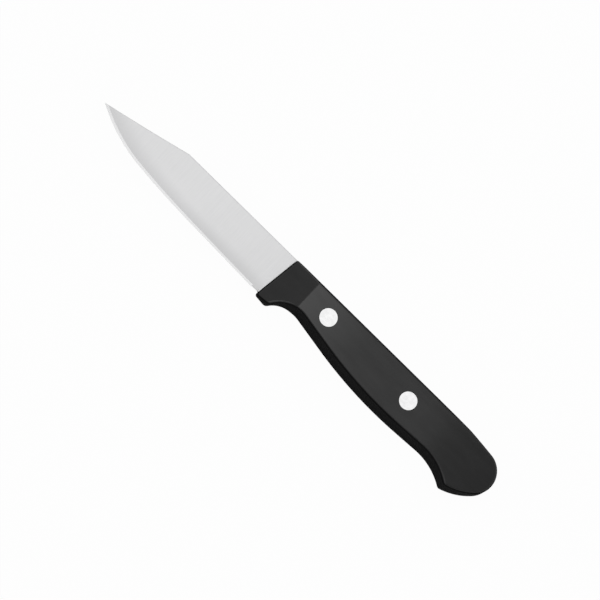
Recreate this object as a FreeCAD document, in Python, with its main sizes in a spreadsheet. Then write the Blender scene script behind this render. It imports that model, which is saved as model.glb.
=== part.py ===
# Paring knife: a stamped blade with a hidden tang, two moulded handle scales and two two-part rivets.
# The knife lies on its right side. +X runs to the tip, +Y from the back to the cutting edge, +Z up.
# Inside each piece x starts at the front of the handle, y at the back and z at the middle of the blade.
import FreeCAD
import Part
import os
import Sketcher
from math import acos, asin, atan2, cos, degrees, hypot, radians, sin, sqrt, tan
from types import SimpleNamespace
from FreeCAD import Placement, Rotation, Vector

# Driving sizes in millimetres and degrees. A reach is measured along the knife from the front of the
# handle, an inset from its butt end, and a depth across it from the back of the blade.
SIZES = {
    # Whole knife
    "blade_length": 81.4,
    "handle_length": 97.1,
    "handle_thickness": 11.0,
    "sheet_thickness": 1.5,
    # Blade outline
    "heel_reach": 5.1,
    "heel_depth": 17.1,
    "heel_step": 0.35,
    "edge_slope": 1.7,
    "edge_straight_reach": 36.0,
    "edge_belly_radius": 300.0,
    "edge_tip_radius": 56.0,
    "tip_depth": 7.45,
    "clip_reach": 49.6,
    "clip_radius": 800.0,
    # Blade grind
    "plunge_gap": 0.4,
    "point_reach": 65.0,
    "spine_heel": 1.46,
    "spine_kink": 1.25,
    "spine_point": 1.0,
    "spine_tip": 0.6,
    "edge_thickness": 0.38,
    "edge_flat": 0.04,
    "bevel_angle": 13.0,
    "spine_ease": 0.2,
    "tip_ease": 0.1,
    "ease_angle": 45.0,
    # Tang
    "tang_length": 70.0,
    "tang_shoulder": 1.6,
    "tang_front_depth": 11.0,
    "tang_rear_depth": 13.0,
    "tang_corner": 2.5,
    "tang_clearance": 0.1,
    # Handle outline
    "front_rake": 7.7,
    "toe_radius": 12.0,
    "front_corner": 0.9,
    "guard_depth": 18.15,
    "guard_corner": 1.8,
    "notch_reach": 12.1,
    "notch_depth": 12.7,
    "notch_radius": 10.5,
    "belly_reach": 52.8,
    "belly_depth": 17.3,
    "belly_radius": 155.0,
    "hollow_inset": 24.7,
    "hollow_depth": 16.45,
    "hollow_radius": 21.5,
    "beak_depth": 20.4,
    "beak_radius": 1.5,
    "butt_radius": 21.0,
    "nose_depth": 9.35,
    "nose_radius": 7.7,
    "back_radius": 450.0,
    # Handle section
    "crown_radius": 11.0,
    "front_thickness": 4.4,
    "facet_length": 10.3,
    "facet_blend": 2.0,
    "taper_reach": 64.5,
    "butt_thickness": 6.2,
    "edge_round": 0.8,
    # Rivets
    "front_rivet_reach": 19.9,
    "front_rivet_depth": 7.7,
    "rear_rivet_reach": 57.7,
    "rear_rivet_depth": 8.9,
    "head_diameter": 6.4,
    "head_height": 2.0,
    "head_bevel": 0.12,
    "shank_diameter": 4.0,
    "pin_diameter": 2.4,
    "rivet_clearance": 0.03,
    "rivet_end_gap": 0.4,
}
mm = SimpleNamespace(**SIZES)

# How far a cutting profile reaches past the solid that it cuts, and the least volume that it takes away.
OVERSHOOT = 2.0
LEAST_CUT = 1e-3
# Two lengths this close are the same, and a direction with this much of an axis runs along it.
SAME_LENGTH = 1e-6
FACING = 0.8
# A sketch's own axes, the first of which starts at its zero, and the points of a line or arc.
X_AXIS, Y_AXIS = -1, -2
START, END, CENTRE = 1, 2, 3

doc = FreeCAD.newDocument("paring_knife")


def make_sheet():
    """Put every driving size in its own named cell."""
    sheet = doc.addObject("Spreadsheet::Sheet", "Sizes")
    for row, (alias, value) in enumerate(SIZES.items(), start=1):
        sheet.set(f"A{row}", alias)
        sheet.set(f"B{row}", str(value))
        sheet.setAlias(f"B{row}", alias)
    doc.recompute()


def new_body(label, behind="0", depth="0"):
    """Start a piece whose own zero lies at a place on the middle plane of the assembled knife."""
    body = doc.addObject("PartDesign::Body", label)
    body.Label = label
    body.setExpression("Placement.Base.x", f"(Sizes.handle_length - Sizes.blade_length) / 2 - {behind}")
    body.setExpression("Placement.Base.y", f"{depth} - Sizes.beak_depth / 2")
    body.setExpression("Placement.Base.z", "Sizes.handle_thickness / 2")
    return body


def origin_plane(body, role):
    return next(feature for feature in body.Origin.OriginFeatures if feature.Role == role)


def polar(centre, radius, angle):
    """The point of a circle at an angle in degrees."""
    return centre[0] + radius * cos(radians(angle)), centre[1] + radius * sin(radians(angle))


def bearing(centre, spot):
    """The direction from one point to another, in degrees from 0 to 360."""
    return degrees(atan2(spot[1] - centre[1], spot[0] - centre[0])) % 360


def apart_from(first, far, second, near, side):
    """The point at set distances from two others, to one side of the way from the first to the second."""
    spread = hypot(second[0] - first[0], second[1] - first[1])
    corner = acos((far ** 2 + spread ** 2 - near ** 2) / (2 * far * spread))
    return polar(first, far, bearing(first, second) + side * degrees(corner))


def square_to_tangent(lower, lower_radius, upper, upper_radius, side):
    """The direction, in degrees, square to a line that touches two circles and passes between them."""
    lean = acos((lower_radius + upper_radius) / hypot(upper[0] - lower[0], upper[1] - lower[1]))
    return bearing(lower, upper) + side * degrees(lean)


class Profile:
    """A sketch on a plane of a body: a chain of lines and arcs whose sizes come from the sheet.

    The places that the drawing calls give are close to the solved ones, and the dimensions fix them.
    """

    def __init__(self, body, name, plane):
        self.sketch = body.newObject("Sketcher::SketchObject", name)
        self.sketch.AttachmentSupport = (origin_plane(body, plane), [""])
        self.sketch.MapMode = "FlatFace"
        self.ends = {}

    def line(self, start, end):
        item = self.sketch.addGeometry(Part.LineSegment(Vector(*start, 0), Vector(*end, 0)))
        self.ends[item] = (START, END)
        return item

    def arc(self, centre, radius, first, last):
        """An arc between two angles in degrees, which runs backwards where the last is smaller."""
        circle = Part.Circle(Vector(*centre, 0), Vector(0, 0, 1), radius)
        low, high = sorted((radians(first), radians(last)))
        item = self.sketch.addGeometry(Part.ArcOfCircle(circle, low, high))
        self.ends[item] = (START, END) if first < last else (END, START)
        return item

    def circle(self, centre, radius):
        return self.sketch.addGeometry(Part.Circle(Vector(*centre, 0), Vector(0, 0, 1), radius))

    def first(self, item):
        return item, self.ends[item][0]

    def last(self, item):
        return item, self.ends[item][1]

    def hold(self, kind, *args):
        return self.sketch.addConstraint(Sketcher.Constraint(kind, *args))

    def join(self, *items):
        """Join the items end to start with sharp corners."""
        for item, follower in zip(items, items[1:]):
            self.hold("Coincident", *self.last(item), *self.first(follower))

    def flow(self, *items):
        """Join the items end to start, tangent to each other."""
        for item, follower in zip(items, items[1:]):
            self.hold("Tangent", *self.last(item), *self.first(follower))

    def size(self, name, expression, kind, *args):
        """Add a dimension at its present value and tie it to the sheet."""
        index = self.hold(kind, *args)
        self.sketch.renameConstraint(index, name)
        self.sketch.setExpression(f"Constraints.{name}", expression)
        return index

    def place(self, name, point, x=None, y=None):
        """Fix a point by its distances from the sketch's zero; a minus sign measures backwards."""
        spot = self.sketch.getPoint(*point)
        for kind, expression, value in (("DistanceX", x, spot.x), ("DistanceY", y, spot.y)):
            if expression is None:
                continue
            pair = (*point, X_AXIS, START) if expression.startswith("-") else (X_AXIS, START, *point)
            self.size(f"{name}_{kind[-1]}", expression.removeprefix("-"), kind, *pair, abs(value))

    def radius(self, name, item, expression):
        self.size(f"{name}_radius", expression, "Radius", item, self.sketch.Geometry[item].Radius)

    def slope(self, name, item, expression):
        """Fix the direction of a line, in degrees from the sketch's x axis."""
        line = self.sketch.Geometry[item]
        run = line.EndPoint - line.StartPoint
        self.size(f"{name}_slope", expression, "Angle", item, atan2(run.y, run.x))

    def mark(self, item, spot):
        """A construction point that lies on a line or arc."""
        point = self.sketch.addGeometry(Part.Point(Vector(*spot, 0)), True)
        self.hold("PointOnObject", point, START, item)
        return point, START

    def read_depth(self, name, item, near, x):
        """Measure, without fixing it, how deep a line or arc lies at a distance along the sketch."""
        point = self.mark(item, near)
        self.place(name, point, x)
        index = self.hold("DistanceY", X_AXIS, START, *point, self.sketch.getPoint(*point).y)
        self.sketch.setDriving(index, False)
        self.sketch.renameConstraint(index, f"{name}_depth")


def cut_volume(before, feature):
    """Recompute and make sure that a cutting feature took something away."""
    doc.recompute()
    if feature.Shape.Volume > before - LEAST_CUT:
        raise RuntimeError(f"{feature.Label} cuts nothing")
    return feature.Shape.Volume


def tang_chain(profile, top, grow=""):
    """Draw the heel and the tang from the cutting edge round to the back, larger by the given clearance.

    The heel's lower line is stepped in from the edge and runs just inside the handle; from there a
    narrower tang runs back, with a round corner at each turn of its underside.
    """
    heel = mm.heel_depth - mm.heel_step
    low = (-mm.tang_shoulder - mm.tang_corner, mm.tang_front_depth)
    rear = (-mm.tang_length + mm.tang_corner, mm.tang_rear_depth)
    ricasso = profile.line((mm.heel_reach, heel), (-mm.tang_shoulder, heel))
    shoulder = profile.line((-mm.tang_shoulder, heel), (-mm.tang_shoulder, low[1] + mm.tang_corner))
    inside = profile.arc((low[0], low[1] + mm.tang_corner), mm.tang_corner, 0, -90)
    under = profile.line(low, rear)
    outside = profile.arc((rear[0], rear[1] - mm.tang_corner), mm.tang_corner, 90, 180)
    end = profile.line((-mm.tang_length, rear[1] - mm.tang_corner), (-mm.tang_length, top))
    profile.join(ricasso, shoulder)
    profile.flow(shoulder, inside, under, outside, end)
    profile.hold("Horizontal", ricasso)
    profile.hold("Vertical", shoulder)
    profile.hold("Vertical", end)
    profile.place("heel", profile.first(ricasso), "Sizes.heel_reach",
                  f"Sizes.heel_depth - Sizes.heel_step{grow}")
    profile.place("shoulder", profile.first(shoulder), f"-(Sizes.tang_shoulder{grow})")
    profile.place("front", profile.mark(under, low), "-Sizes.tang_shoulder", f"Sizes.tang_front_depth{grow}")
    profile.place("rear", profile.mark(under, rear), "-Sizes.tang_length", f"Sizes.tang_rear_depth{grow}")
    profile.place("end", profile.first(end), f"-(Sizes.tang_length{grow})")
    profile.radius("inside", inside, "Sizes.tang_corner")
    profile.radius("outside", outside, "Sizes.tang_corner")
    return ricasso, end


def rivet_circles(body, name, diameter):
    """A sketch with one circle at each rivet."""
    profile = Profile(body, name, "XY_Plane")
    for which in ("front", "rear"):
        spot = (-SIZES[f"{which}_rivet_reach"], SIZES[f"{which}_rivet_depth"])
        ring = profile.circle(spot, SIZES[diameter] / 2)
        profile.place(which, (ring, CENTRE), f"-Sizes.{which}_rivet_reach", f"Sizes.{which}_rivet_depth")
        profile.radius(which, ring, f"Sizes.{diameter} / 2 + Sizes.rivet_clearance")
    return profile.sketch


def blade_outline(body):
    """The flat outline of the stamping: straight back, clipped point, curved edge, heel and tang."""
    profile = Profile(body, "BladeOutline", "XY_Plane")
    kink, tip = (mm.clip_reach, 0), (mm.blade_length, mm.tip_depth)
    clip_angle = bearing(kink, tip) + 90
    half_turn = degrees(hypot(tip[0] - kink[0], tip[1]) / 2 / mm.clip_radius)
    edge_fall = tan(radians(mm.edge_slope)) * (mm.edge_straight_reach - mm.heel_reach)
    straight_end = (mm.edge_straight_reach, mm.heel_depth - edge_fall)
    belly_centre = polar(straight_end, -mm.edge_belly_radius, 90 - mm.edge_slope)
    tip_centre = apart_from(belly_centre, mm.edge_belly_radius - mm.edge_tip_radius, tip,
                            mm.edge_tip_radius, side=1)
    turn_angle = bearing(belly_centre, tip_centre)
    tip_angle = bearing(tip_centre, tip)

    back = profile.line((-mm.tang_length, 0), kink)
    clip = profile.arc(polar(kink, -mm.clip_radius, clip_angle + half_turn), mm.clip_radius,
                       clip_angle + half_turn, clip_angle - half_turn)
    point = profile.arc(tip_centre, mm.edge_tip_radius, tip_angle, turn_angle)
    belly = profile.arc(belly_centre, mm.edge_belly_radius, turn_angle, 90 - mm.edge_slope)
    straight = profile.line(straight_end, (mm.heel_reach, mm.heel_depth))
    heel = profile.line((mm.heel_reach, mm.heel_depth), (mm.heel_reach, mm.heel_depth - mm.heel_step))
    ricasso, end = tang_chain(profile, top=0)
    profile.join(back, clip, point)
    profile.flow(point, belly, straight)
    profile.join(straight, heel, ricasso)
    profile.join(end, back)
    profile.hold("Horizontal", back)
    profile.place("kink", profile.last(back), "Sizes.clip_reach")
    profile.hold("PointOnObject", *profile.last(back), X_AXIS)
    profile.radius("clip", clip, "Sizes.clip_radius")
    profile.place("tip", profile.first(point), "Sizes.blade_length", "Sizes.tip_depth")
    profile.radius("point", point, "Sizes.edge_tip_radius")
    profile.radius("belly", belly, "Sizes.edge_belly_radius")
    profile.place("straight_end", profile.first(straight), "Sizes.edge_straight_reach")
    profile.slope("edge", straight, "180 - Sizes.edge_slope")
    profile.place("heel_end", profile.last(straight), "Sizes.heel_reach", "Sizes.heel_depth")
    profile.read_depth("kink_edge", belly, (mm.clip_reach, mm.heel_depth), "Sizes.clip_reach")
    profile.read_depth("point_edge", point, (mm.point_reach, mm.heel_depth), "Sizes.point_reach")
    profile.read_depth("point_back", clip, (mm.point_reach, 0), "Sizes.point_reach")
    edge_names = [f"Edge{item + 1}" for item in (straight, belly, point)]
    return profile.sketch, edge_names


def turned_offset(sketch, angle, x="0", y="0"):
    """Move a sketch on the cross plane to a station and turn it about the knife's up direction.

    The first turn only sets the axis, which a turn of zero would lose.
    """
    sketch.AttachmentOffset = Placement(Vector(0, 0, 0), Rotation(Vector(0, -1, 0), mm.front_rake))
    sketch.setExpression("AttachmentOffset.Base.x", y)
    sketch.setExpression("AttachmentOffset.Base.z", x)
    sketch.setExpression("AttachmentOffset.Rotation.Angle", angle)


def grind_section(body, name, station, spine, edge_depth, rake="0"):
    """One cross-section of what the grinder takes off the upper side: all above a sloping line."""
    profile = Profile(body, name, "YZ_Plane")
    turned_offset(profile.sketch, rake, x=station)
    half, thin = mm.sheet_thickness / 2, mm.edge_thickness / 2
    near, far = -OVERSHOOT, mm.heel_depth + OVERSHOOT
    face = profile.line((near, half), (far, thin))
    edge_side = profile.line((far, thin), (far, half + OVERSHOOT))
    roof = profile.line((far, half + OVERSHOOT), (near, half + OVERSHOOT))
    back_side = profile.line((near, half + OVERSHOOT), (near, half))
    profile.join(face, edge_side, roof, back_side, face)
    profile.hold("Vertical", edge_side)
    profile.hold("Horizontal", roof)
    profile.hold("Vertical", back_side)
    profile.place("roof", profile.first(roof), f"{edge_depth} + {OVERSHOOT}",
                  f"Sizes.sheet_thickness / 2 + {OVERSHOOT}")
    profile.place("back", profile.last(roof), f"-{OVERSHOOT}")
    at_spine = profile.mark(face, (0, half))
    profile.hold("PointOnObject", *at_spine, Y_AXIS)
    profile.place("spine", at_spine, y=f"{spine} / 2")
    at_edge = profile.mark(face, (mm.heel_depth, thin))
    profile.place("edge", at_edge, edge_depth, "Sizes.edge_thickness / 2")
    return profile.sketch


def bevel_section(body):
    """The triangle that sharpening takes off the upper side, square to the edge at the heel."""
    profile = Profile(body, "BevelSection", "YZ_Plane")
    turned_offset(profile.sketch, "Sizes.edge_slope", x="Sizes.heel_reach", y="Sizes.heel_depth")
    top = mm.sheet_thickness / 2
    rise = tan(radians(mm.bevel_angle))
    outer = (OVERSHOOT, mm.edge_flat / 2 - OVERSHOOT * rise)
    inner = ((mm.edge_flat / 2 - top) / rise, top)
    face = profile.line(outer, inner)
    roof = profile.line(inner, (outer[0], top))
    side = profile.line((outer[0], top), outer)
    profile.join(face, roof, side, face)
    profile.hold("Horizontal", roof)
    profile.hold("Vertical", side)
    profile.slope("face", face, "180 - Sizes.bevel_angle")
    profile.place("outer", profile.first(face), f"{OVERSHOOT}")
    profile.place("inner", profile.last(face), y="Sizes.sheet_thickness / 2")
    apex = profile.mark(face, (0, mm.edge_flat / 2))
    profile.hold("PointOnObject", *apex, Y_AXIS)
    profile.place("apex", apex, y="Sizes.edge_flat / 2")
    return profile.sketch


def ease_section(body, name, station, back, height, ease):
    """The triangle that breaks the sharp border of the back on the upper side, at a station."""
    profile = Profile(body, name, "YZ_Plane")
    turned_offset(profile.sketch, "0", x=station, y=back)
    border = mm.sheet_thickness / 2
    rise = tan(radians(mm.ease_angle))
    low = (-OVERSHOOT, border - mm.spine_ease - OVERSHOOT * rise)
    high = ((mm.spine_ease + OVERSHOOT) / rise, border + OVERSHOOT)
    face = profile.line(low, high)
    roof = profile.line(high, (low[0], high[1]))
    side = profile.line((low[0], high[1]), low)
    profile.join(face, roof, side, face)
    profile.hold("Horizontal", roof)
    profile.hold("Vertical", side)
    profile.slope("face", face, "Sizes.ease_angle")
    profile.place("corner", profile.first(side), f"-{OVERSHOOT}", f"{height} + {OVERSHOOT}")
    under = profile.mark(face, (0, border - mm.spine_ease))
    profile.hold("PointOnObject", *under, Y_AXIS)
    profile.place("under", under, y=f"{height} - {ease}")
    return profile.sketch


def through_cut(body, name, sketch):
    """A cut right through the piece, to both sides of its sketch."""
    cut = body.newObject("PartDesign::Pocket", name)
    cut.Profile = sketch
    cut.SideType = "Symmetric"
    cut.Type = "ThroughAll"
    return cut


def lofted_cut(body, name, sections, ruled=False):
    """A cut whose cross-section changes from station to station."""
    cut = body.newObject("PartDesign::SubtractiveLoft", name)
    cut.Profile = sections[0]
    cut.Sections = sections[1:]
    cut.Ruled = ruled
    return cut


def build_blade():
    """Stamp the sheet, grind, sharpen and ease one side, mirror that to the other, pierce the tang."""
    body = new_body("blade")
    outline, edge_names = blade_outline(body)
    sheet = body.newObject("PartDesign::Pad", "BladeSheet")
    sheet.Profile = outline
    sheet.SideType = "Symmetric"
    sheet.setExpression("Length", "Sizes.sheet_thickness")
    doc.recompute()

    heel_depth = "Sizes.heel_depth / cos(Sizes.front_rake)"
    kink_edge, point_edge, point_back = (f"(BladeOutline.Constraints.{name}_depth / 1 mm)"
                                         for name in ("kink_edge", "point_edge", "point_back"))
    past_tip = f"Sizes.blade_length + {OVERSHOOT}"
    grind = lofted_cut(body, "Grind", [
        grind_section(body, "GrindHeel", "Sizes.plunge_gap", "Sizes.spine_heel", heel_depth,
                      rake="Sizes.front_rake"),
        grind_section(body, "GrindKink", "Sizes.clip_reach", "Sizes.spine_kink", kink_edge),
        grind_section(body, "GrindPoint", "Sizes.point_reach", "Sizes.spine_point", point_edge),
        grind_section(body, "GrindTip", past_tip, "Sizes.spine_tip", "Sizes.tip_depth"),
    ])
    volume = cut_volume(sheet.Shape.Volume, grind)

    bevel = body.newObject("PartDesign::SubtractivePipe", "Bevel")
    bevel.Profile = bevel_section(body)
    bevel.Spine = (outline, edge_names)
    volume = cut_volume(volume, bevel)

    point_thinning = f"(Sizes.spine_point - Sizes.edge_thickness) / 2 * {point_back} / {point_edge}"
    tip_slope = f"(Sizes.tip_depth - {point_back}) / (Sizes.blade_length - Sizes.point_reach)"
    ease = lofted_cut(body, "SpineEase", ruled=True, sections=[
        ease_section(body, "EaseFront", "0", "0", "Sizes.spine_heel / 2", "Sizes.spine_ease"),
        ease_section(body, "EaseKink", "Sizes.clip_reach", "0", "Sizes.spine_kink / 2", "Sizes.spine_ease"),
        ease_section(body, "EasePoint", "Sizes.point_reach", point_back,
                     f"Sizes.spine_point / 2 - {point_thinning}", "Sizes.spine_ease"),
        ease_section(body, "EaseTip", past_tip, f"Sizes.tip_depth + {OVERSHOOT} * {tip_slope}",
                     "Sizes.edge_thickness / 2", "Sizes.tip_ease"),
    ])
    volume = cut_volume(volume, ease)

    other_side = body.newObject("PartDesign::Mirrored", "OtherSide")
    other_side.Originals = [grind, bevel, ease]
    other_side.MirrorPlane = (origin_plane(body, "XY_Plane"), [""])
    body.Tip = other_side
    volume = cut_volume(volume, other_side)

    cut_volume(volume, through_cut(body, "RivetHoles", rivet_circles(body, "TangHoles", "shank_diameter")))
    return body


def handle_outline(body):
    """The side view of the handle: raked front, finger notch, full belly, beaked butt, straight back."""
    profile = Profile(body, "HandleOutline", "XY_Plane")
    rake = radians(mm.front_rake)
    toe_depth = mm.guard_depth - mm.front_corner
    bend_depth = toe_depth - mm.toe_radius * sin(rake)
    bend = (bend_depth * tan(rake), bend_depth)
    toe_centre = (bend[0] - mm.toe_radius * cos(rake), toe_depth)
    corner_centre = (toe_centre[0] + mm.toe_radius - mm.front_corner, toe_depth)
    notch_centre = (-mm.notch_reach, mm.notch_depth + mm.notch_radius)
    belly_centre = (-mm.belly_reach, mm.belly_depth - mm.belly_radius)
    hollow_centre = (mm.hollow_inset - mm.handle_length, mm.hollow_depth + mm.hollow_radius)
    nose_centre = (mm.nose_radius - mm.handle_length, mm.nose_depth)
    guard_rise = notch_centre[1] - mm.guard_depth + mm.guard_corner
    guard_run = sqrt((mm.notch_radius + mm.guard_corner) ** 2 - guard_rise ** 2)
    guard_turn = degrees(atan2(guard_rise, guard_run))
    beak_rise = hollow_centre[1] - mm.beak_depth + mm.beak_radius
    beak_run = sqrt((mm.hollow_radius + mm.beak_radius) ** 2 - beak_rise ** 2)
    beak_turn = degrees(atan2(beak_rise, beak_run))
    beak_centre = (hollow_centre[0] - beak_run, mm.beak_depth - mm.beak_radius)
    butt_centre = apart_from(beak_centre, mm.butt_radius - mm.beak_radius, nose_centre,
                             mm.butt_radius - mm.nose_radius, side=1)
    butt_turn, butt_end = bearing(butt_centre, beak_centre), bearing(butt_centre, nose_centre)
    back_drop = mm.back_radius - mm.nose_depth
    back_run = sqrt((mm.back_radius - mm.nose_radius) ** 2 - back_drop ** 2)
    back_turn = 180 + degrees(atan2(back_drop, back_run))
    grip_turn = square_to_tangent(belly_centre, mm.belly_radius, notch_centre, mm.notch_radius, side=1)
    rear_turn = square_to_tangent(belly_centre, mm.belly_radius, hollow_centre, mm.hollow_radius, side=-1)

    front = profile.line((0, 0), bend)
    toe = profile.arc(toe_centre, mm.toe_radius, -mm.front_rake, 0)
    corner = profile.arc(corner_centre, mm.front_corner, 0, 90)
    guard_centre = (notch_centre[0] + guard_run, mm.guard_depth - mm.guard_corner)
    guard = profile.line((corner_centre[0], mm.guard_depth), (guard_centre[0], mm.guard_depth))
    guard_end = profile.arc(guard_centre, mm.guard_corner, 90, 180 - guard_turn)
    notch = profile.arc(notch_centre, mm.notch_radius, -guard_turn, grip_turn - 180)
    grip_line = profile.line(polar(notch_centre, -mm.notch_radius, grip_turn),
                             polar(belly_centre, mm.belly_radius, grip_turn))
    belly = profile.arc(belly_centre, mm.belly_radius, grip_turn, rear_turn)
    rear_line = profile.line(polar(belly_centre, mm.belly_radius, rear_turn),
                             polar(hollow_centre, -mm.hollow_radius, rear_turn))
    hollow = profile.arc(hollow_centre, mm.hollow_radius, rear_turn - 180, beak_turn - 180)
    beak = profile.arc(beak_centre, mm.beak_radius, beak_turn, butt_turn)
    butt = profile.arc(butt_centre, mm.butt_radius, butt_turn, butt_end)
    nose = profile.arc(nose_centre, mm.nose_radius, butt_end, back_turn)
    back_centre = (nose_centre[0] + back_run, mm.back_radius)
    back = profile.arc(back_centre, mm.back_radius, back_turn, 270)
    top = profile.line((back_centre[0], 0), (0, 0))

    profile.flow(front, toe, corner, guard, guard_end, notch, grip_line, belly, rear_line, hollow, beak,
                 butt, nose, back, top)
    profile.join(top, front)
    profile.hold("Coincident", *profile.first(front), X_AXIS, START)
    profile.hold("Horizontal", top)
    profile.hold("Horizontal", guard)
    profile.hold("Horizontal", *profile.last(toe), toe, CENTRE)
    profile.slope("front", front, "90 - Sizes.front_rake")
    profile.place("guard", profile.first(guard), y="Sizes.guard_depth")
    for name, item in (("front_corner", corner), ("guard_corner", guard_end)):
        profile.radius(name, item, f"Sizes.{name}")
    for name, item in (("toe", toe), ("notch", notch), ("belly", belly), ("hollow", hollow),
                       ("beak", beak), ("butt", butt), ("nose", nose), ("back", back)):
        profile.radius(name, item, f"Sizes.{name}_radius")
    profile.place("notch", (notch, CENTRE), "-Sizes.notch_reach", "Sizes.notch_depth + Sizes.notch_radius")
    profile.place("hollow", (hollow, CENTRE), "-(Sizes.handle_length - Sizes.hollow_inset)",
                  "Sizes.hollow_depth + Sizes.hollow_radius")
    profile.place("belly", (belly, CENTRE), "-Sizes.belly_reach", "-(Sizes.belly_radius - Sizes.belly_depth)")
    profile.place("beak", (beak, CENTRE), y="Sizes.beak_depth - Sizes.beak_radius")
    profile.place("nose", (nose, CENTRE), "-(Sizes.handle_length - Sizes.nose_radius)", "Sizes.nose_depth")
    return profile.sketch


def facet_section(body):
    """What the front facet takes off, seen from the edge: all above a slope that blends into the side."""
    profile = Profile(body, "FacetSection", "XZ_Plane")
    half, front = mm.handle_thickness / 2, mm.front_thickness / 2
    reach = mm.heel_reach
    fall = (half - front) / mm.facet_length
    angle = degrees(atan2(half - front, mm.facet_length))
    blend_run = mm.facet_blend * tan(radians(angle) / 2)
    blend_centre = (-mm.facet_length - blend_run, half - mm.facet_blend)
    face = profile.line((reach, front - reach * fall), polar(blend_centre, mm.facet_blend, 90 - angle))
    blend = profile.arc(blend_centre, mm.facet_blend, 90 - angle, 90)
    rear_side = profile.line((blend_centre[0], half), (blend_centre[0], half + OVERSHOOT))
    roof = profile.line((blend_centre[0], half + OVERSHOOT), (reach, half + OVERSHOOT))
    front_side = profile.line((reach, half + OVERSHOOT), (reach, front - reach * fall))
    profile.flow(face, blend)
    profile.join(blend, rear_side, roof, front_side, face)
    profile.hold("Vertical", rear_side)
    profile.hold("Vertical", *profile.last(blend), blend, CENTRE)
    profile.hold("Horizontal", roof)
    profile.hold("Vertical", front_side)
    drop = "(Sizes.handle_thickness - Sizes.front_thickness) / 2 / Sizes.facet_length"
    profile.slope("face", face, f"180 deg - atan({drop})")
    profile.place("face", profile.first(face), "Sizes.heel_reach",
                  f"Sizes.front_thickness / 2 - Sizes.heel_reach * {drop}")
    profile.radius("blend", blend, "Sizes.facet_blend")
    profile.place("blend", profile.last(blend), y="Sizes.handle_thickness / 2")
    profile.place("roof", profile.last(roof), y=f"Sizes.handle_thickness / 2 + {OVERSHOOT}")
    return profile.sketch


def taper_section(body):
    """What the taper towards the butt takes off, seen from the edge: all above one long arc."""
    profile = Profile(body, "TaperSection", "XZ_Plane")
    half, butt = mm.handle_thickness / 2, mm.butt_thickness / 2
    rear, roof_height = -mm.handle_length - OVERSHOOT, half + OVERSHOOT
    run = mm.handle_length - mm.taper_reach
    radius = (run ** 2 + (half - butt) ** 2) / (half - butt) / 2
    centre = (-mm.taper_reach, half - radius)
    turn = degrees(asin((run + OVERSHOOT) / radius))
    arc = profile.arc(centre, radius, 90, 90 + turn)
    rear_side = profile.line(polar(centre, radius, 90 + turn), (rear, roof_height))
    roof = profile.line((rear, roof_height), (-mm.taper_reach, roof_height))
    front_side = profile.line((-mm.taper_reach, roof_height), (-mm.taper_reach, half))
    profile.join(arc, rear_side, roof, front_side, arc)
    profile.hold("Vertical", *profile.first(arc), arc, CENTRE)
    profile.hold("Vertical", rear_side)
    profile.hold("Horizontal", roof)
    profile.hold("Vertical", front_side)
    profile.place("start", profile.first(arc), "-Sizes.taper_reach", "Sizes.handle_thickness / 2")
    profile.place("butt", profile.mark(arc, (-mm.handle_length, butt)), "-Sizes.handle_length",
                  "Sizes.butt_thickness / 2")
    profile.place("roof", profile.first(roof), f"-(Sizes.handle_length + {OVERSHOOT})",
                  f"Sizes.handle_thickness / 2 + {OVERSHOOT}")
    return profile.sketch


def crown_section(body):
    """What the rounded back takes off, seen along the knife: all outside one wide arc."""
    profile = Profile(body, "CrownSection", "YZ_Plane")
    top = mm.handle_thickness / 2 + OVERSHOOT
    bend = degrees(atan2(top, sqrt(mm.crown_radius ** 2 - top ** 2)))
    rim = polar((mm.crown_radius, 0), mm.crown_radius, 180 - bend)
    arc = profile.arc((mm.crown_radius, 0), mm.crown_radius, 180 - bend, 180)
    floor = profile.line((0, 0), (-OVERSHOOT, 0))
    side = profile.line((-OVERSHOOT, 0), (-OVERSHOOT, top))
    roof = profile.line((-OVERSHOOT, top), rim)
    profile.join(arc, floor, side, roof, arc)
    profile.hold("Coincident", *profile.last(arc), X_AXIS, START)
    profile.hold("PointOnObject", arc, CENTRE, X_AXIS)
    profile.radius("crown", arc, "Sizes.crown_radius")
    profile.hold("Horizontal", floor)
    profile.hold("Vertical", side)
    profile.hold("Horizontal", roof)
    profile.place("side", profile.last(side), f"-{OVERSHOOT}",
                  f"Sizes.handle_thickness / 2 + {OVERSHOOT}")
    return profile.sketch


def recess_outline(body):
    """The hollow for the tang, open at the back and at the front."""
    profile = Profile(body, "TangRecess", "XY_Plane")
    ricasso, end = tang_chain(profile, top=-OVERSHOOT, grow=" + Sizes.tang_clearance")
    top = profile.line((-mm.tang_length, -OVERSHOOT), (mm.heel_reach, -OVERSHOOT))
    front = profile.line((mm.heel_reach, -OVERSHOOT), (mm.heel_reach, mm.heel_depth - mm.heel_step))
    profile.join(end, top, front, ricasso)
    profile.hold("Horizontal", top)
    profile.hold("Vertical", front)
    profile.place("top", profile.first(top), y=f"-{OVERSHOOT}")
    return profile.sketch


def rim_edges(shape, back):
    """The edges where the side of the handle, facet included, meets its crowned back or else its walls."""
    def faces_up(face):
        low, high, left, right = face.ParameterRange
        return face.normalAt((low + high) / 2, (left + right) / 2).z > FACING

    def is_crown(face):
        round_along = isinstance(face.Surface, Part.Cylinder) and abs(face.Surface.Axis.x) > FACING
        return round_along and abs(face.Surface.Radius - mm.crown_radius) < SAME_LENGTH

    names = []
    for number, edge in enumerate(shape.Edges, start=1):
        faces = shape.ancestorsOfType(edge, Part.Face)
        upward = [face for face in faces if faces_up(face)]
        if len(upward) == 1 and any(is_crown(face) for face in faces) == back:
            names.append(f"Edge{number}")
    return names


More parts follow.
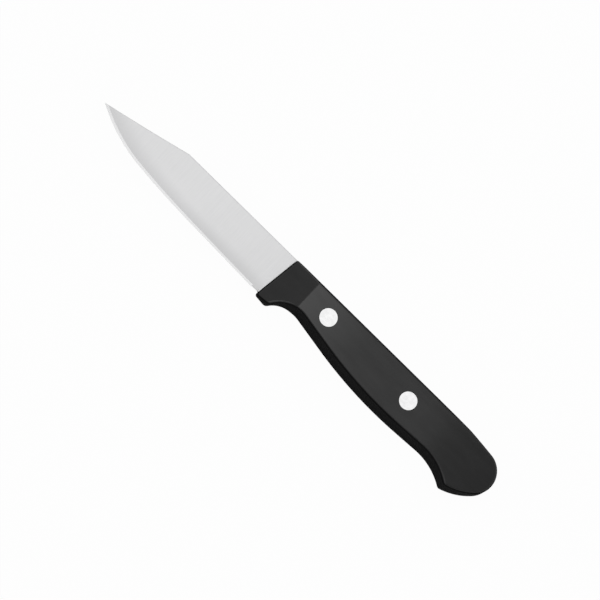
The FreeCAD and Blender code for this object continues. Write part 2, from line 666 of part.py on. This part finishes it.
def build_left_scale():
    """Mould one handle half: outline, facet, taper, crowned back, rounded rim, tang recess, rivet seats."""
    body = new_body("left_scale")
    blank = body.newObject("PartDesign::Pad", "ScaleBlank")
    blank.Profile = handle_outline(body)
    blank.setExpression("Length", "Sizes.handle_thickness / 2")
    doc.recompute()
    volume = blank.Shape.Volume
    for name, section in (("Facet", facet_section), ("Taper", taper_section), ("Crown", crown_section)):
        volume = cut_volume(volume, through_cut(body, name, section(body)))

    for name, back in (("WallRim", False), ("BackRim", True)):
        raw = body.Tip
        rim = body.newObject("PartDesign::Fillet", name)
        rim.Base = (raw, rim_edges(raw.Shape, back))
        rim.setExpression("Radius", "Sizes.edge_round")
        volume = cut_volume(volume, rim)

    recess = body.newObject("PartDesign::Pocket", "Recess")
    recess.Profile = recess_outline(body)
    recess.Reversed = True
    recess.setExpression("Length", "Sizes.sheet_thickness / 2")
    volume = cut_volume(volume, recess)

    bores = through_cut(body, "ShankBores", rivet_circles(body, "ShankCircles", "shank_diameter"))
    volume = cut_volume(volume, bores)
    seats = body.newObject("PartDesign::Pocket", "HeadSeats")
    seats.Profile = rivet_circles(body, "HeadCircles", "head_diameter")
    seats.Profile[0].setExpression("AttachmentOffset.Base.z",
                                   "Sizes.handle_thickness / 2 - Sizes.head_height")
    seats.Reversed = True
    seats.Type = "ThroughAll"
    cut_volume(volume, seats)
    return body


def mirror_scale(left):
    """The right scale is the left one mirrored in the middle plane of the blade."""
    right = doc.addObject("Part::Mirroring", "right_scale")
    right.Label = "right_scale"
    right.Source = left
    right.Normal = Vector(0, 0, 1)
    right.setExpression("Base.z", "Sizes.handle_thickness / 2")
    return right


def turned(body, kind, name, diameter, height, base):
    """Add or take away a cylinder on the piece's own axis, from a height above the middle plane."""
    drum = body.newObject(f"PartDesign::{kind}Cylinder", name)
    drum.AttachmentSupport = (origin_plane(body, "XY_Plane"), [""])
    drum.MapMode = "FlatFace"
    drum.setExpression("Radius", f"{diameter} / 2")
    drum.setExpression("Height", height)
    drum.setExpression("AttachmentOffset.Base.z", base)
    doc.recompute()


def bevel_rim(body, height):
    """Break the sharp rim of a rivet head at the given height."""
    head = body.Tip
    rims = [f"Edge{number}" for number, edge in enumerate(head.Shape.Edges, start=1)
            if len(edge.Vertexes) == 1 and abs(edge.Vertexes[0].Z - height) < SAME_LENGTH]
    bevel = body.newObject("PartDesign::Chamfer", f"{body.Name}_bevel")
    bevel.Base = (head, rims)
    bevel.setExpression("Size", "Sizes.head_bevel")


def build_rivet(which):
    """One cutler's rivet: a socket with a head and a tube from above, a post with a pin from below."""
    reach, depth = f"Sizes.{which}_rivet_reach", f"Sizes.{which}_rivet_depth"
    half = "Sizes.handle_thickness / 2"
    grip = f"({half} - Sizes.head_height)"

    socket = new_body(f"{which}_rivet_socket", reach, depth)
    turned(socket, "Additive", f"{which}_socket_head", "Sizes.head_diameter", "Sizes.head_height", grip)
    turned(socket, "Additive", f"{which}_tube", "Sizes.shank_diameter",
           f"2 * {grip} - Sizes.rivet_end_gap", f"Sizes.rivet_end_gap - {grip}")
    turned(socket, "Subtractive", f"{which}_bore", "Sizes.pin_diameter",
           f"2 * {grip} - Sizes.rivet_end_gap", f"Sizes.rivet_end_gap - {grip}")
    bevel_rim(socket, mm.handle_thickness / 2)

    post = new_body(f"{which}_rivet_post", reach, depth)
    turned(post, "Additive", f"{which}_post_head", "Sizes.head_diameter", "Sizes.head_height", f"-{half}")
    turned(post, "Additive", f"{which}_pin", "Sizes.pin_diameter",
           f"2 * {grip} - Sizes.rivet_end_gap", f"-{grip}")
    bevel_rim(post, -mm.handle_thickness / 2)
    return [socket, post]


make_sheet()
left_scale = build_left_scale()
pieces = [build_blade(), left_scale, mirror_scale(left_scale), *build_rivet("front"), *build_rivet("rear")]
doc.recompute()

for item in doc.Objects:
    if {"Invalid", "Error"} & set(item.State):
        raise RuntimeError(f"{item.Label} did not build")
for piece in pieces:
    if piece.Shape.isNull() or not piece.Shape.isValid() or len(piece.Shape.Solids) != 1:
        raise RuntimeError(f"{piece.Label} is not one sound solid")

os.makedirs("parts", exist_ok=True)
for piece in pieces:
    piece.Shape.exportStep(f"parts/{piece.Label}.step")
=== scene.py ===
import math
import bpy
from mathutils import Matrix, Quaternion, Vector

# Paring knife
# It lies on its right side: +X runs from the butt to the tip, +Y from the back to the cutting edge.
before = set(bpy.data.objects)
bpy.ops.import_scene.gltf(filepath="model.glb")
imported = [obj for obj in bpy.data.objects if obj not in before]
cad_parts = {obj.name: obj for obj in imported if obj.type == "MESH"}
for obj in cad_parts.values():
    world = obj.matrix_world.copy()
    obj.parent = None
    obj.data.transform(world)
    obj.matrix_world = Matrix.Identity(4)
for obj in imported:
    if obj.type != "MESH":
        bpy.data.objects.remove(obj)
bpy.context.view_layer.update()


# Blade
# One stamping of stainless sheet: blade and tang. Both sides are ground thin towards the edge on a
# belt that runs across them, which leaves a fine satin grain. The edge is then honed brighter.
class Shade:
    """A socket of a node tree; sums and products of such values become Math nodes."""

    def __init__(self, tree, socket=None):
        self.tree = tree
        self.socket = socket

    def node(self, kind, inputs=None, output=0, **settings):
        """Add a node of any kind: its settings first, then the values or links of its sockets."""
        node = self.tree.nodes.new(kind)
        for name, value in settings.items():
            setattr(node, name, value)
        for name, value in (inputs or {}).items():
            if isinstance(value, Shade):
                self.tree.links.new(value.socket, node.inputs[name])
            else:
                node.inputs[name].default_value = value
        return Shade(self.tree, node.outputs[output])

    def math(self, operation, *values):
        return self.node("ShaderNodeMath", dict(enumerate(values)), operation=operation)

    def __add__(self, other):
        return self.math("ADD", self, other)

    def __radd__(self, other):
        return self.math("ADD", other, self)

    def __sub__(self, other):
        return self.math("SUBTRACT", self, other)

    def __rsub__(self, other):
        return self.math("SUBTRACT", other, self)

    def __mul__(self, other):
        return self.math("MULTIPLY", self, other)

    def __rmul__(self, other):
        return self.math("MULTIPLY", other, self)

    def axis(self, name):
        """One coordinate, X, Y or Z, of a place or a direction."""
        return self.node("ShaderNodeSeparateXYZ", {"Vector": self}, output=name)

    def step(self, low, high):
        """Rise smoothly from 0 at the low value to 1 at the high one."""
        return self.node("ShaderNodeMapRange", {"Value": self, "From Min": low, "From Max": high},
                         interpolation_type="SMOOTHSTEP")

    def grain(self, spacing):
        """Noise from 0 to 1 whose lumps have the given spacing along each axis, in metres."""
        stretched = self.node("ShaderNodeMapping", {"Vector": self, "Scale": [1 / s for s in spacing]})
        return self.node("ShaderNodeTexNoise", {"Vector": stretched, "Scale": 1.0, "Detail": 2.0})

    def mix(self, low, high):
        """The low colour where this value is 0 and the high one where it is 1."""
        return self.node("ShaderNodeMix", {0: self, 6: low, 7: high}, output=2, data_type="RGBA")

    def feed(self, node, name):
        self.tree.links.new(self.socket, node.inputs[name])

    def emboss(self, shader, strength, depth):
        """Raise the surface where this value is high, by the given depth in metres."""
        relief = self.node("ShaderNodeBump", {"Height": self, "Strength": strength, "Distance": depth})
        relief.feed(shader, "Normal")


def new_finish(name):
    """A material, its shader and the object's own coordinates, from which its pattern is made."""
    material = bpy.data.materials.new(name)
    material.use_nodes = True
    shader = material.node_tree.nodes["Principled BSDF"]
    place = Shade(material.node_tree).node("ShaderNodeTexCoord", output="Object")
    return material, shader, place


def flatness(place):
    """1 on faces that lie flat, less the more they slope, 0 on upright ones."""
    normal = place.node("ShaderNodeTexCoord", output="Normal")
    return place.math("ABSOLUTE", normal.axis("Z"))


def coat(nodes, material):
    """Give CAD nodes a finish in place of their plain one."""
    for name in nodes:
        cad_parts[name].material_slots[0].material = material


STEEL_DARK = (0.665, 0.665, 0.67, 1)
STEEL_LIGHT = (0.725, 0.725, 0.73, 1)
PAINTED_EDGE_SHADE = (0.60, 0.60, 0.605, 1)
HONED = (0.77, 0.77, 0.775, 1)
GRAIN_CONTRAST = (0.3, 0.7)
LINE_SPACING = (0.00012, 0.006, 0.006)
STREAK_SPACING = (0.0007, 0.02, 0.02)
CLOUD_SPACING = (0.03, 0.012, 0.012)
LINE_DEPTH = 0.00002
BEVEL_FLATNESS = (0.985, 0.990)
MIDDLE_HEIGHT = 0.0055
THIN_HALF, FULL_HALF = 0.00019, 0.00036
HONED_ROUGHNESS = 0.18

satin, satin_shader, place = new_finish("satin_steel")
lines = place.grain(LINE_SPACING)
belt_marks = 0.5 * lines + 0.2 * place.grain(STREAK_SPACING) + 0.3 * place.grain(CLOUD_SPACING)
steel_colour = belt_marks.step(*GRAIN_CONTRAST).mix(STEEL_DARK, STEEL_LIGHT)
half_thickness = place.math("ABSOLUTE", place.axis("Z") - MIDDLE_HEIGHT)
# Painted shade: where the blade grows thin just above the honed bevel, the steel is painted darker, a
# shade line along the edge and not a change in the steel.
steel_colour = half_thickness.step(THIN_HALF, FULL_HALF).mix(PAINTED_EDGE_SHADE, steel_colour)
unhoned = flatness(place).step(*BEVEL_FLATNESS)
unhoned.mix(HONED, steel_colour).feed(satin_shader, "Base Color")
(HONED_ROUGHNESS + 0.10 * unhoned + 0.08 * lines).feed(satin_shader, "Roughness")
lines.emboss(satin_shader, 0.08, LINE_DEPTH)
satin_shader.inputs["Metallic"].default_value = 1.0
coat(["blade"], satin)

# Scales
# Two halves of hard black plastic, moulded to shape round the tang and mirror images of each other.
# Their sides are ground and polished with the rivets in place, most at both ends; rims and back
# stay matt.
PLASTIC_DARK = (0.006, 0.006, 0.0062, 1)
PLASTIC_LIGHT = (0.008, 0.008, 0.0082, 1)
PORE_SPACING = (0.0004, 0.0004, 0.0004)
RUBBING_SPACING = (0.012, 0.003, 0.003)
PORE_DEPTH = 0.00002
SIDE_FLATNESS = (0.75, 0.94)
FRONT_POLISH = (-0.030, -0.002)
BUTT_POLISH = (-0.066, -0.084)
SIDE_GLOSS = 0.47
MATT_ROUGHNESS = 0.62

plastic, plastic_shader, place = new_finish("black_plastic")
pores = place.grain(PORE_SPACING)
rubbing = place.grain(RUBBING_SPACING)
polished = flatness(place).step(*SIDE_FLATNESS)
along = place.axis("X")
worn = 0.37 * along.step(*FRONT_POLISH) + 0.30 * along.step(*BUTT_POLISH)
rubbing.step(*GRAIN_CONTRAST).mix(PLASTIC_DARK, PLASTIC_LIGHT).feed(plastic_shader, "Base Color")
(MATT_ROUGHNESS - 0.20 * polished + 0.06 * pores).feed(plastic_shader, "Roughness")
gloss = SIDE_GLOSS + worn + 0.16 * rubbing + 0.08 * pores
(polished * gloss).feed(plastic_shader, "Coat Weight")
pores.emboss(plastic_shader, 0.06, PORE_DEPTH)
plastic_shader.inputs["IOR"].default_value = 1.08
plastic_shader.inputs["Coat Roughness"].default_value = 0.28
plastic_shader.inputs["Coat IOR"].default_value = 1.68
coat(["left_scale", "right_scale"], plastic)

# Rivets
# Two-part rivets of bright nickel steel: a tube with a head from one side, a pin with a head from
# the other. They are pressed together through the tang and ground flush with the scales.
RIVET_DARK = (0.73, 0.73, 0.73, 1)
RIVET_LIGHT = (0.83, 0.83, 0.83, 1)
SCRATCH_SPACING = (0.004, 0.0001, 0.004)
MARK_SPACING = (0.0012, 0.0012, 0.004)
SCRATCH_DEPTH = 0.00001
RIVET_ROUGHNESS = 0.10

bright, bright_shader, place = new_finish("bright_rivet_steel")
scratches = place.grain(SCRATCH_SPACING)
head_wear = 0.4 * scratches + 0.6 * place.grain(MARK_SPACING)
head_wear.step(*GRAIN_CONTRAST).mix(RIVET_DARK, RIVET_LIGHT).feed(bright_shader, "Base Color")
(RIVET_ROUGHNESS + 0.08 * scratches).feed(bright_shader, "Roughness")
scratches.emboss(bright_shader, 0.05, SCRATCH_DEPTH)
bright_shader.inputs["Metallic"].default_value = 1.0
coat(["front_rivet_socket", "front_rivet_post", "rear_rivet_socket", "rear_rivet_post"], bright)

# Floor
# A wide white table, just below the knife. It looks white to the lens, adds a little of that white to
# what mirrors it, and keeps a trace of the knife's shadow.
FLOOR_RADIUS = 6.0
FLOOR_WHITE = (0.92, 0.92, 0.92, 1)
FLOOR_GAP = 0.00002
SEEN_WHITE = 0.97
MIRRORED_WHITE = 0.04


def white_share(tree):
    """How much of plain white a surface shows to the lens and in mirrors."""
    seen, glossy, through = (tree.node("ShaderNodeLightPath", output=f"Is {kind} Ray")
                             for kind in ("Camera", "Glossy", "Transmission"))
    return SEEN_WHITE * seen + MIRRORED_WHITE * (glossy + through)


bpy.ops.object.select_all(action="DESELECT")
bpy.ops.mesh.primitive_circle_add(vertices=96, radius=FLOOR_RADIUS, fill_type="NGON",
                                  location=(0, 0, -FLOOR_GAP))
floor = bpy.context.object
floor.name = "studio_table"
table, table_shader, place = new_finish("white_table")
table_shader.inputs["Base Color"].default_value = FLOOR_WHITE
table_shader.inputs["Roughness"].default_value = 1.0
table_shader.inputs["Specular IOR Level"].default_value = 0.0
lit = Shade(place.tree, table_shader.outputs["BSDF"])
white = place.node("ShaderNodeEmission", {"Strength": 1.0})
surface = place.node("ShaderNodeMixShader", {0: white_share(place), 1: lit, 2: white})
surface.feed(table.node_tree.nodes["Material Output"], "Surface")
floor.data.materials.append(table)

# Light
# One broad softbox above and behind the knife, whose reflection fills the blade and fades along the
# handle, and a room with pale walls all round and a dim ceiling.
SOFTBOX_X = (-0.17, 0.22)
SOFTBOX_Y = (-0.40, 0.19)
SOFTBOX_HEIGHT = 0.60
SOFTBOX_RADIANCE = 0.95
WALLS = 0.80
CEILING = 0.18
WALL_TOP, CEILING_EDGE = 0.52, 0.84

lamp = bpy.data.lights.new("softbox", "AREA")
lamp.shape = "RECTANGLE"
lamp.size = SOFTBOX_X[1] - SOFTBOX_X[0]
lamp.size_y = SOFTBOX_Y[1] - SOFTBOX_Y[0]
lamp.energy = SOFTBOX_RADIANCE * math.pi * lamp.size * lamp.size_y
softbox = bpy.data.objects.new("softbox", lamp)
softbox.location = (sum(SOFTBOX_X) / 2, sum(SOFTBOX_Y) / 2, SOFTBOX_HEIGHT)
bpy.context.scene.collection.objects.link(softbox)

room = bpy.data.worlds.new("studio_room")
room.use_nodes = True
surround = room.node_tree.nodes["Background"]
surround.inputs["Color"].default_value = (1, 1, 1, 1)
outward = Shade(room.node_tree).node("ShaderNodeTexCoord", output="Generated")
glow = WALLS - (WALLS - CEILING) * outward.axis("Z").step(WALL_TOP, CEILING_EDGE)
(glow + (1 - glow) * white_share(outward)).feed(surround, "Strength")
bpy.context.scene.world = room

# Camera
# A long lens high on the side of the cutting edge, turned so that the knife runs across the picture
# from the upper left to the lower right.
AZIMUTH, ELEVATION, ROLL = math.radians(162.9), math.radians(74.0), math.radians(-61.0)
VIEW_WIDTH = 0.1962
VIEW_CENTRE = Vector((-0.00176, -0.00143, 0.0055))
VIEW_DISTANCE = 0.6

back = Vector((math.sin(AZIMUTH) * math.cos(ELEVATION), -math.cos(AZIMUTH) * math.cos(ELEVATION),
               math.sin(ELEVATION)))
lens = bpy.data.cameras.new("photo_camera")
lens.type = "ORTHO"
lens.ortho_scale = VIEW_WIDTH
camera = bpy.data.objects.new("photo_camera", lens)
camera.rotation_mode = "QUATERNION"
camera.rotation_quaternion = (-back).to_track_quat("-Z", "Y") @ Quaternion((0, 0, 1), -ROLL)
camera.location = VIEW_CENTRE + VIEW_DISTANCE * back
bpy.context.scene.collection.objects.link(camera)
bpy.context.scene.camera = camera
bpy.context.scene.view_settings.view_transform = "Standard"
